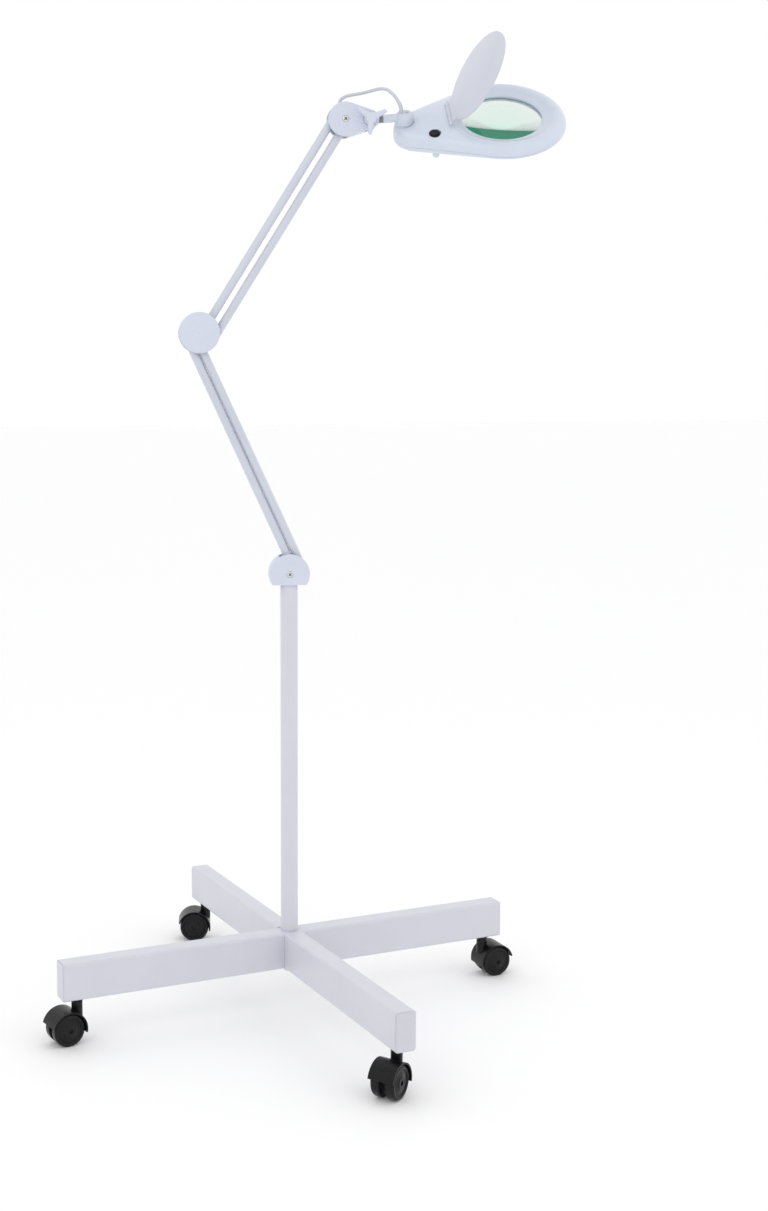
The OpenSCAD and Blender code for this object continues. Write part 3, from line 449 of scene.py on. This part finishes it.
def heightAt(spec, x, y, top):
    # height of the stretched skin over ring and rear end, for arrays of points
    x, y = np.asarray(x, float), np.asarray(y, float)
    sign = 1 if top else -1
    low, high = np.zeros(x.shape), np.ones(x.shape)
    best = np.full(x.shape, searchSpec["unset"])
    steps = searchSpec["steps"]
    for _ in range(searchSpec["rounds"]):
        share = low[..., None] + (high - low)[..., None] * np.linspace(0, 1, steps + 1)
        centre, flat, edge, face = blendSlices(spec, share, top)
        past = np.hypot(x[..., None] - centre, y[..., None]) - flat
        drop = edge - np.sqrt(np.maximum(edge ** 2 - np.maximum(past, 0) ** 2, 0))
        level = np.where(past > edge, searchSpec["outside"] - past, sign * face - drop)
        pick = level.argmax(-1)
        best = np.maximum(best, level.max(-1))
        middle = np.take_along_axis(share, pick[..., None], -1)[..., 0]
        reach = (high - low) / steps
        low, high = np.clip(middle - reach, 0, 1), np.clip(middle + reach, 0, 1)
    return sign * best


def edgeDistance(spec, angles, inset=0.0):
    # how far the outline lies from the lens axis, drawn in by an inset
    low = np.full(angles.shape, searchSpec["nearest"])
    high = np.full(angles.shape, searchSpec["farthest"])
    share = np.linspace(0, 1, searchSpec["slices"])
    centres = spec["lensReach"] + (spec["rearX"] - spec["lensReach"]) * share
    radii = spec["ringRadius"] + (spec["rearRadius"] - spec["ringRadius"]) * share - inset
    for _ in range(searchSpec["halvings"]):
        mid = (low + high) / 2
        x = spec["lensReach"] + mid * np.cos(angles)
        y = mid * np.sin(angles)
        inside = (radii - np.hypot(x[:, None] - centres, y[:, None])).max(1) > 0
        low, high = np.where(inside, mid, low), np.where(inside, high, mid)
    return low


def bodyShare(spec, angles, reach):
    # how far towards the rear end each point of the outline belongs, 0 on the ring and 1 on the rear end
    x = spec["lensReach"] + reach * np.cos(angles)
    y = np.abs(reach * np.sin(angles))
    slope = (spec["ringRadius"] - spec["rearRadius"]) / (spec["lensReach"] - spec["rearX"])
    foot = x + y * slope / math.sqrt(1 - slope ** 2)
    return np.clip((spec["lensReach"] - foot) / (spec["lensReach"] - spec["rearX"]), 0, 1)


def evenAngles(spec):
    # directions from the lens axis that share the outline out evenly, closer at the tight rear end
    dense = np.linspace(0, 2 * math.pi, searchSpec["directions"] + 1)[:-1]
    reach = edgeDistance(spec, dense)
    x, y = reach * np.cos(dense), reach * np.sin(dense)
    step = np.hypot(np.diff(x, append=x[0]), np.diff(y, append=y[0]))
    turn = np.full(step.shape, 1.0)
    turn[x < searchSpec["tightBehind"]] = searchSpec["tightness"]
    run = np.concatenate([[0], np.cumsum(step * turn)])
    marks = np.linspace(0, run[-1], spec["around"] + 1)[:-1]
    return np.interp(marks, run, np.append(dense, 2 * math.pi))


def loopAt(spec, angles, reach, height):
    reach = np.broadcast_to(reach, angles.shape)
    height = np.broadcast_to(height, angles.shape)
    return np.stack([spec["lensReach"] + reach * np.cos(angles), reach * np.sin(angles), height], 1)


def skinLoops(spec, angles, start, end, steps, top, thick=0.0, limit=None):
    # loops over the skin from one distance to another, closer together towards the end
    loops = []
    for k in range(steps + 1):
        reach = start + (end - start) * math.sin(math.pi / 2 * k / steps)
        x = spec["lensReach"] + reach * np.cos(angles)
        y = reach * np.sin(angles)
        z = heightAt(spec, x, y, top) + (-thick if top else thick)
        if limit is not None:
            z = np.maximum(z, limit) if top else np.minimum(z, limit)
        loops.append(np.stack([x, y, z], 1))
    return loops


def joinLoops(loops):
    # closed skin through a ring of loops
    count = len(loops[0])
    verts = np.concatenate(loops)
    faces = []
    for i in range(len(loops)):
        a0, b0 = i * count, (i + 1) % len(loops) * count
        for k in range(count):
            n = (k + 1) % count
            faces.append((a0 + k, a0 + n, b0 + n, b0 + k))
    return verts, faces


def turned(profile, around=64, place=None):
    # closed profile of (radius, height) turned about z
    verts, faces = [], []
    n = len(profile)
    for k in range(around):
        a = 2 * math.pi * k / around
        verts += [Vector((r * math.cos(a), r * math.sin(a), z)) for r, z in profile]
    for k in range(around):
        for i in range(n):
            a, b = k * n, (k + 1) % around * n
            faces.append((a + i, b + i, b + (i + 1) % n, a + (i + 1) % n))
    if place is not None:
        verts = [place @ v for v in verts]
    return verts, faces


def merged(parts):
    verts, faces = [], []
    for v, f in parts:
        start = len(verts)
        verts += [Vector(p) for p in v]
        faces += [tuple(start + i for i in face) for face in f]
    return verts, faces


def solidPiece(name, parts, place, material, body, replaced, degrees=32):
    # one piece from closed skins, drawn in its own frame and set in the lamp's
    verts, faces = merged(parts)
    piece = addMesh(name, [place @ v for v in verts], faces, material)
    work = bmesh.new()
    work.from_mesh(piece.data)
    bmesh.ops.remove_doubles(work, verts=work.verts, dist=1e-7)
    bmesh.ops.recalc_face_normals(work, faces=work.faces)
    work.to_mesh(piece.data)
    work.free()
    smoothByAngle(piece, degrees)
    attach(piece, body)
    if replaced:
        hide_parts(*replaced)
    return piece


def roundedEnd(reach, low, high, edge):
    # outer side of a low disc with its top edge rounded
    arcPoints = [(reach - edge + edge * math.sin(a), high - edge + edge * math.cos(a))
                 for a in [math.radians(15 * i) for i in range(7)]]
    return arcPoints + [(reach, low)]


def raisedRing(bore, reach, low, high, edge):
    # profile of a raised ring with its outer top edge rounded
    return [(bore, high)] + roundedEnd(reach, low, high, edge) + [(bore, low)]


def cutAway(part, cutters):
    # a closed skin with other closed skins taken out of it
    made = [addMesh("blank", *p, None) for p in [part] + cutters]
    for cutter in made[1:]:
        step = made[0].modifiers.new("cut", "BOOLEAN")
        step.object = cutter
        step.solver = "EXACT"
    result = made[0].evaluated_get(bpy.context.evaluated_depsgraph_get()).to_mesh()
    verts = [v.co.copy() for v in result.vertices]
    faces = [tuple(f.vertices) for f in result.polygons]
    for blank in made:
        mesh = blank.data
        bpy.data.objects.remove(blank)
        bpy.data.meshes.remove(mesh)
    return verts, faces


def disc(radius, low, high, around=48, place=None, sides=0.0):
    # closed cylinder, or a cone when the top is wider by sides
    ring = [(math.cos(2 * math.pi * k / around), math.sin(2 * math.pi * k / around)) for k in range(around)]
    verts = [Vector((radius * c, radius * s, low)) for c, s in ring]
    verts += [Vector(((radius + sides) * c, (radius + sides) * s, high)) for c, s in ring]
    if place is not None:
        verts = [place @ v for v in verts]
    faces = [tuple(range(around - 1, -1, -1)), tuple(range(around, 2 * around))]
    faces += [(k, (k + 1) % around, around + (k + 1) % around, around + k) for k in range(around)]
    return verts, faces


def headOutline(spec):
    # directions round the head, how far it reaches in each, and the height of the parting line there
    angles = evenAngles(spec)
    widest = edgeDistance(spec, angles)
    share = bodyShare(spec, angles, widest)
    return angles, widest, spec["seamRing"] + (spec["seamRear"] - spec["seamRing"]) * share


def makeTopShell(spec):
    # deck, lens well, seat for the yoke cap, rim for the switch and the lid's ears
    angles, widest, seam = headOutline(spec)
    crest = np.full(angles.shape, float(spec["well"][-1][0]))
    well = [loopAt(spec, angles, r, z) for r, z in spec["well"]]
    deck = skinLoops(spec, angles, crest, widest - spec["nearEdge"], spec["deckSteps"], True)[1:]
    deck[-1][:, 2] = np.maximum(deck[-1][:, 2], seam + spec["hem"])
    hem = [loopAt(spec, angles, widest, seam + spec["hem"]),
           loopAt(spec, angles, widest - spec["hem"], seam),
           loopAt(spec, angles, widest - spec["wall"], seam)]
    inner = skinLoops(spec, angles, np.full(angles.shape, spec["collar"] + spec["innerStart"]),
                      widest - spec["wall"] - spec["nearEdge"], spec["innerSteps"], True, spec["wall"])[::-1]
    inner[0][:, 2] = np.maximum(inner[0][:, 2] - spec["innerDrop"], seam + spec["innerGap"])
    under = [loopAt(spec, angles, spec["collar"], spec["collarTop"]),
             loopAt(spec, angles, spec["collar"], spec["split"]),
             loopAt(spec, angles, spec["lensSeat"], spec["split"]),
             loopAt(spec, angles, spec["lensSeat"], spec["lensSeatTop"])]
    switchPlace = Matrix.Translation((*spec["switchAt"], spec["switchHeight"]))
    switchPlace = switchPlace @ Matrix.Rotation(math.radians(spec["switchLean"]), 4, "X")
    boreRadius, boreLow, boreHigh, boreSides = spec["switchBore"]
    pocketRadius, pocketLow, pocketHigh, pocketSides = spec["yokePocket"]
    skin = cutAway(joinLoops(well + deck + hem + inner + under),
                   [disc(boreRadius, boreLow, boreHigh, 48, switchPlace, boreSides),
                    disc(pocketRadius, pocketLow, pocketHigh, 64, None, pocketSides)])
    topParts = [skin, turned(raisedRing(*spec["yokeSeat"]), 64),
                turned(raisedRing(*spec["switchRim"]), 64, switchPlace)]
    topParts += [hingeEar(spec, side) for side in (-1, 1)]
    solidPiece("head_shell_top", topParts, headPlace(), finishes["headPlastic"], "head", ["head_top"])
    print("top shell lofted")


def makeBottomShell(spec):
    # belly under the parting line, open round the light ring, with holes for the screws
    angles, widest, seam = headOutline(spec)
    start = seam - spec["seam"]
    drawnIn = edgeDistance(spec, angles, spec["lip"])
    low = heightAt(spec, *loopAt(spec, angles, drawnIn, 0)[:, :2].T, False)
    cheek = [loopAt(spec, angles, drawnIn - spec["cheekIn"], start),
             loopAt(spec, angles, drawnIn, start - spec["cheekEdge"]),
             loopAt(spec, angles, drawnIn, np.minimum(start - spec["cheekDrop"], (start + low) / 2))]
    belly = skinLoops(spec, angles, np.full(angles.shape, spec["ledOut"] + spec["bellyStart"]), drawnIn,
                      spec["bellySteps"], False)[::-1]
    belly[0][:, 2] = np.minimum(belly[0][:, 2], start - spec["bellyDrop"])
    mouth = [loopAt(spec, angles, spec["ledOut"], belly[-1][:, 2] + spec["mouthRise"]),
             loopAt(spec, angles, spec["ledOut"], spec["ledSeat"]),
             loopAt(spec, angles, spec["ledOut"] + spec["ledge"], spec["ledSeat"])]
    inside = skinLoops(spec, angles, np.full(angles.shape, spec["ledOut"] + spec["insideStart"]),
                       widest - spec["wall"] - spec["insideEdge"], spec["insideSteps"], False, spec["wall"],
                       start - spec["insideDrop"])
    inside.append(loopAt(spec, angles, widest - spec["wall"] - spec["insideLip"], start))
    holes = [disc(*spec["screwHole"], 32, Matrix.Translation((x, y, 0))) for x, y in spec["screws"]]
    hull = cutAway(joinLoops(cheek + belly + mouth + inside), holes)
    bottom = solidPiece("head_shell_bottom", [hull], headPlace(), finishes["headPlastic"], "head",
                        ["head_bottom"])
    print("bottom shell lofted:", len(bottom.data.polygons), "faces")


def makeLensCollar(spec):
    lensPlace = Matrix.Translation((spec["lensReach"], 0, 0))
    solidPiece("lens_collar", [turned(spec["collarProfile"], 160, lensPlace)], headPlace(),
               finishes["headPlastic"], "head", None)


def hingeEar(spec, side):
    # tab that holds the lid's pin, rounded over the top
    (cx, cz), radius = spec["earCentre"], spec["earRound"]
    outline = list(spec["earSides"][:3])
    outline += [(cx + radius * math.cos(math.radians(a)), cz + radius * math.sin(math.radians(a)))
                for a in range(15, 180, 15)]
    outline.append(spec["earSides"][3])
    return prism(outline, side * spec["earAt"] - spec["earHalf"], side * spec["earAt"] + spec["earHalf"])


def prism(outline, y0, y1):
    n = len(outline)
    verts = [(x, y0, z) for x, z in outline] + [(x, y1, z) for x, z in outline]
    faces = [tuple(range(n)), tuple(range(2 * n - 1, n - 1, -1))]
    faces += [(i, n + i, n + (i + 1) % n, (i + 1) % n) for i in range(n)]
    return verts, faces


hatchSpec = {
    "centre": (54, -35), "width": 32, "depth": 28, "squareness": 7, "around": 96,
    "outside": [(1.0, 1.5), (1.0, -0.05), (0.985, -0.3), (0.96, -0.4), (0.8, -0.4), (0.6, -0.4),
                (0.4, -0.4), (0.2, -0.4), (0.02, -0.4)],
    "inside": [(0.02, 1.5), (0.5, 1.5), (0.98, 1.5)],
    "footAt": (45, -42), "footTip": -43, "footRoot": -36,
    "footFlat": 3.6, "footEdge": 1.4, "footWide": 5.4,
}


def makeHatch(spec, head):
    # the cover under the driver board follows the belly and carries the foot
    (cx, cy), width, depth = spec["centre"], spec["width"] / 2, spec["depth"] / 2
    outline = []
    for k in range(spec["around"]):
        a = 2 * math.pi * (k + 0.5) / spec["around"]
        power = 2 / spec["squareness"]
        outline.append((width * math.copysign(abs(math.cos(a)) ** power, math.cos(a)),
                        depth * math.copysign(abs(math.sin(a)) ** power, math.sin(a))))
    outline = np.array(outline)
    rows = []
    for scale, lift in spec["outside"] + spec["inside"]:
        x, y = cx + outline[:, 0] * scale, cy + outline[:, 1] * scale
        rows.append(np.stack([x, y, heightAt(head, x, y, False) + lift], 1))
    flat, edge, tip, root = spec["footFlat"], spec["footEdge"], spec["footTip"], spec["footRoot"]
    foot = [(0.01, tip)]
    foot += [(flat + edge * math.sin(math.radians(a)), tip + edge - edge * math.cos(math.radians(a)))
             for a in range(0, 91, 15)]
    foot += [(spec["footWide"], root), (0.01, root)]
    parts = [joinLoops(rows), turned(foot, 40, Matrix.Translation((*spec["footAt"], 0)))]
    solidPiece("driver_cover", parts, headPlace(), finishes["headPlastic"], "head", ["driver_hatch"])
    print("driver cover and foot moulded")


makeTopShell(headSpec)
makeBottomShell(headSpec)
makeLensCollar(headSpec)
makeHatch(hatchSpec, headSpec)


lensSpec = {"radius": 63.5, "edge": 3, "middle": 13, "height": -12, "around": 240, "rings": 44}


def makeLens(spec):
    # biconvex glass with a ground edge
    rise = (spec["middle"] - spec["edge"]) / 2
    ball = (spec["radius"] ** 2 + rise ** 2) / (2 * rise)
    centre = headSpec["lensReach"]
    verts, faces, count = [], [], spec["around"]
    for face in (1, -1):
        verts.append((centre, 0, spec["height"] + face * (spec["edge"] / 2 + rise)))
        for i in range(1, spec["rings"] + 1):
            r = spec["radius"] * math.sin(math.pi / 2 * i / spec["rings"])
            z = spec["height"] + face * (spec["edge"] / 2 + rise - ball + math.sqrt(ball ** 2 - r ** 2))
            turns = [2 * math.pi * k / count for k in range(count)]
            verts += [(centre + r * math.cos(a), r * math.sin(a), z) for a in turns]
    half = 1 + spec["rings"] * count
    for face, start in ((1, 0), (-1, half)):
        flip = (lambda f: f) if face > 0 else (lambda f: tuple(reversed(f)))
        faces += [flip((start, start + 1 + k, start + 1 + (k + 1) % count)) for k in range(count)]
        for i in range(spec["rings"] - 1):
            a = start + 1 + i * count
            faces += [flip((a + k, a + count + k, a + count + (k + 1) % count, a + (k + 1) % count))
                      for k in range(count)]
    polished = len(faces)
    a, b = half - count, 2 * half - count
    faces += [(a + k, b + k, b + (k + 1) % count, a + (k + 1) % count) for k in range(count)]
    place = headPlace()
    piece = addMesh("magnifying_lens", [place @ Vector(v) for v in verts], faces, finishes["lensGlass"])
    piece.data.materials.append(finishes["lensEdge"])
    for f in piece.data.polygons:
        if f.index >= polished:
            f.material_index = 1
    smoothByAngle(piece, 30)
    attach(piece, "head")
    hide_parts("lens")
    print("lens ground")


makeLens(lensSpec)


stageSpec = {
    "floor": (0.985, 0.985, 0.987), "floorReach": 30, "floorRoughness": 0.7, "world": 1.0,
    "lights": [("key", (-2.0, -2.6, 3.2), (2.2, 2.2), 9), ("side", (2.8, -1.2, 2.2), (1.4, 2.4), 3)],
    "aim": (0, 0, 0.8),
}


def makeStage(spec):
    r = spec["floorReach"]
    corners = [(-r, -r, 0), (r, -r, 0), (r, r, 0), (-r, r, 0)]
    floor = addMesh("floor", corners, [(0, 1, 2, 3)], None, False)
    material, _, shader = newMaterial("pale floor")
    shader.inputs["Base Color"].default_value = (*spec["floor"], 1)
    shader.inputs["Roughness"].default_value = spec["floorRoughness"]
    floor.data.materials.append(material)
    world = bpy.data.worlds.new("studio")
    world.use_nodes = True
    world.node_tree.nodes["Background"].inputs["Color"].default_value = (1.0, 1.0, 1.0, 1)
    world.node_tree.nodes["Background"].inputs["Strength"].default_value = spec["world"]
    bpy.context.scene.world = world


def addSoftbox(name, place, target, size, power):
    light = bpy.data.lights.new(name, "AREA")
    light.shape = "RECTANGLE"
    light.size, light.size_y = size
    light.energy = power
    lamp = bpy.data.objects.new(name, light)
    lamp.location = place
    aim = Vector(target) - Vector(place)
    lamp.rotation_euler = aim.to_track_quat("-Z", "Y").to_euler()
    bpy.context.scene.collection.objects.link(lamp)


makeStage(stageSpec)
for light, place, size, power in stageSpec["lights"]:
    addSoftbox(light, place, stageSpec["aim"], size, power)
bpy.context.scene.view_settings.view_transform = "Standard"
print("floor and lights set")


knobSpec = {
    "hub": 8.2, "hubEdge": 3, "skirt": [(0.3, -10), (1.2, -12.5), (1.2, -14.8)],
    "reach": 25, "tip": 3.1, "root": 5.4, "rootDrop": 0.2, "tipDrop": 0.9, "wingStart": 3,
    "wings": (25, 145, 265), "voxel": 0.42, "smoothing": 7,
}


def roundedBar(start, end, r0, r1, steps=14, around=20):
    # bar with round ends that thins from one end to the other
    line = [start.lerp(end, k / steps) for k in range(steps + 1)]
    way = (end - start).normalized()
    side = way.orthogonal().normalized()
    other = way.cross(side)
    verts, faces = [start - way * r0], []
    caps = [math.radians(a) for a in (-60, -30)]
    rings = [(start + way * r0 * math.sin(a), r0 * math.cos(a)) for a in caps]
    rings += [(p, r0 + (r1 - r0) * k / steps) for k, p in enumerate(line)]
    rings += [(end + way * r1 * math.sin(-a), r1 * math.cos(a)) for a in reversed(caps)]
    for centre, r in rings:
        turns = [2 * math.pi * k / around for k in range(around)]
        verts += [centre + r * (math.cos(a) * side + math.sin(a) * other) for a in turns]
    verts.append(end + way * r1)
    for i in range(len(rings) - 1):
        for k in range(around):
            a, b = 1 + i * around + k, 1 + i * around + (k + 1) % around
            faces.append((a, b, b + around, a + around))
    last = len(verts) - 1
    faces += [(0, 1 + (k + 1) % around, 1 + k) for k in range(around)]
    faces += [(last, last - around + k, last - around + (k + 1) % around) for k in range(around)]
    return verts, faces


def melted(name, parts, voxel, smoothing, material):
    # closed skins fused into one with soft fillets, in the frame that they were drawn in
    piece = addMesh(name, *merged(parts), material)
    fuse = piece.modifiers.new("fuse", "REMESH")
    fuse.mode = "VOXEL"
    fuse.voxel_size = voxel
    soften = piece.modifiers.new("soften", "SMOOTH")
    soften.factor = 0.5
    soften.iterations = smoothing
    mesh = bpy.data.meshes.new_from_object(piece.evaluated_get(bpy.context.evaluated_depsgraph_get()))
    piece.modifiers.clear()
    old = piece.data
    piece.data = mesh
    bpy.data.meshes.remove(old)
    mesh.name = name
    if not mesh.materials:
        mesh.materials.append(material)
    for f in mesh.polygons:
        f.use_smooth = True
    return piece


def makeKnob(spec):
    # three blunt wings growing out of a round hub
    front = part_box("wing_knob")[0][1]
    centre = jointAt("knob_turn")[0]
    place = Matrix.Translation((centre.x, front, centre.z))
    place = place @ axes((0, 0, 0), Vector((0, -1, 0)), (1, 0, 0)) @ Matrix.Scale(mm, 4)
    edge, tip, root = spec["hubEdge"], spec["tip"], spec["root"]
    hub = [(0.01, 0)]
    hub += [(spec["hub"] - edge + edge * math.sin(math.radians(a)), -edge + edge * math.cos(math.radians(a)))
            for a in range(0, 91, 15)]
    hub += [(spec["hub"] + wider, z) for wider, z in spec["skirt"]]
    hub.append((0.01, spec["skirt"][-1][1]))
    parts = [turned(hub, 48)]
    for angle in spec["wings"]:
        pointing = Vector((math.cos(math.radians(angle)), 0, math.sin(math.radians(angle))))
        way = place.to_3x3().inverted() @ pointing
        way.normalize()
        start = way * spec["wingStart"] + Vector((0, 0, -root - spec["rootDrop"]))
        end = way * (spec["reach"] - tip) + Vector((0, 0, -tip - spec["tipDrop"]))
        parts.append(roundedBar(start, end, root, tip))
    knob = melted("tilt_knob", parts, spec["voxel"], spec["smoothing"], finishes["whitePlastic"])
    knob.data.transform(place)
    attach(knob, "wing_knob")
    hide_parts("wing_knob")
    print("knob moulded")


makeKnob(knobSpec)

screwSpec = {
    "reach": 2.9, "width": 1.1, "front": -15.98, "back": -15.7, "turn": 45,
    "spots": {"base_knuckle": (0, 694.1), "top_knuckle": (84.38, 1378.06)},
}


def paintRecessShades(spec):
    # painted shade: a thin near-black cross laid on the head of each cover screw, standing in for the shade
    # in its recess
    r, w = spec["reach"], spec["width"] / 2
    cross = [(r, -w), (r, w), (w, w), (w, r), (-w, r), (-w, w),
             (-r, w), (-r, -w), (-w, -w), (-w, -r), (w, -r), (w, -w)]
    c, s = math.cos(math.radians(spec["turn"])), math.sin(math.radians(spec["turn"]))
    for body, (x, z) in spec["spots"].items():
        outline = [(x + a * c - b * s, z + a * s + b * c) for a, b in cross]
        piece = solidPiece("painted_recess_shade_" + body, [prism(outline, spec["front"], spec["back"])],
                           Matrix.Scale(mm, 4), finishes["recessShadePainted"], body, None)
    print("screw crosses set, last at", piece.name)


paintRecessShades(screwSpec)

seamSpec = {"tubeRadius": 6.35, "bead": 1.2, "proud": 0.52, "ends": 22, "steps": 8, "around": 24}


def makeTubeSeam(spec):
    # weld seam down the lower tube, on the side that faces its link tube
    start, end = jointAt("lower_arm")[0] / mm, jointAt("elbow")[0] / mm
    link = jointAt("lower_link")[0] / mm
    along = (end - start).normalized()
    across = (link - start) - along * (link - start).dot(along)
    lift = across.normalized() * (spec["tubeRadius"] + spec["proud"] - spec["bead"])
    bar = roundedBar(start + along * spec["ends"] + lift, end - along * spec["ends"] + lift,
                     spec["bead"], spec["bead"], spec["steps"], spec["around"])
    solidPiece("lower_tube_seam", [bar], Matrix.Scale(mm, 4), finishes["armPaint"], "lower_main", None,
               60)
    print("tube seam drawn")


makeTubeSeam(seamSpec)


cornerSpec = {"width": 0.0003, "segments": 2, "sharpest": 40}


def softenNodes(spec):
    # smooth shading and a fine bevel on every CAD node
    for piece in nodes.values():
        for f in piece.data.polygons:
            f.use_smooth = True
        bevel = piece.modifiers.new("soft corners", "BEVEL")
        bevel.width = spec["width"]
        bevel.segments = spec["segments"]
        bevel.limit_method = "ANGLE"
        bevel.angle_limit = math.radians(spec["sharpest"])
        bevel.harden_normals = True


softenNodes(cornerSpec)
print("node corners softened")
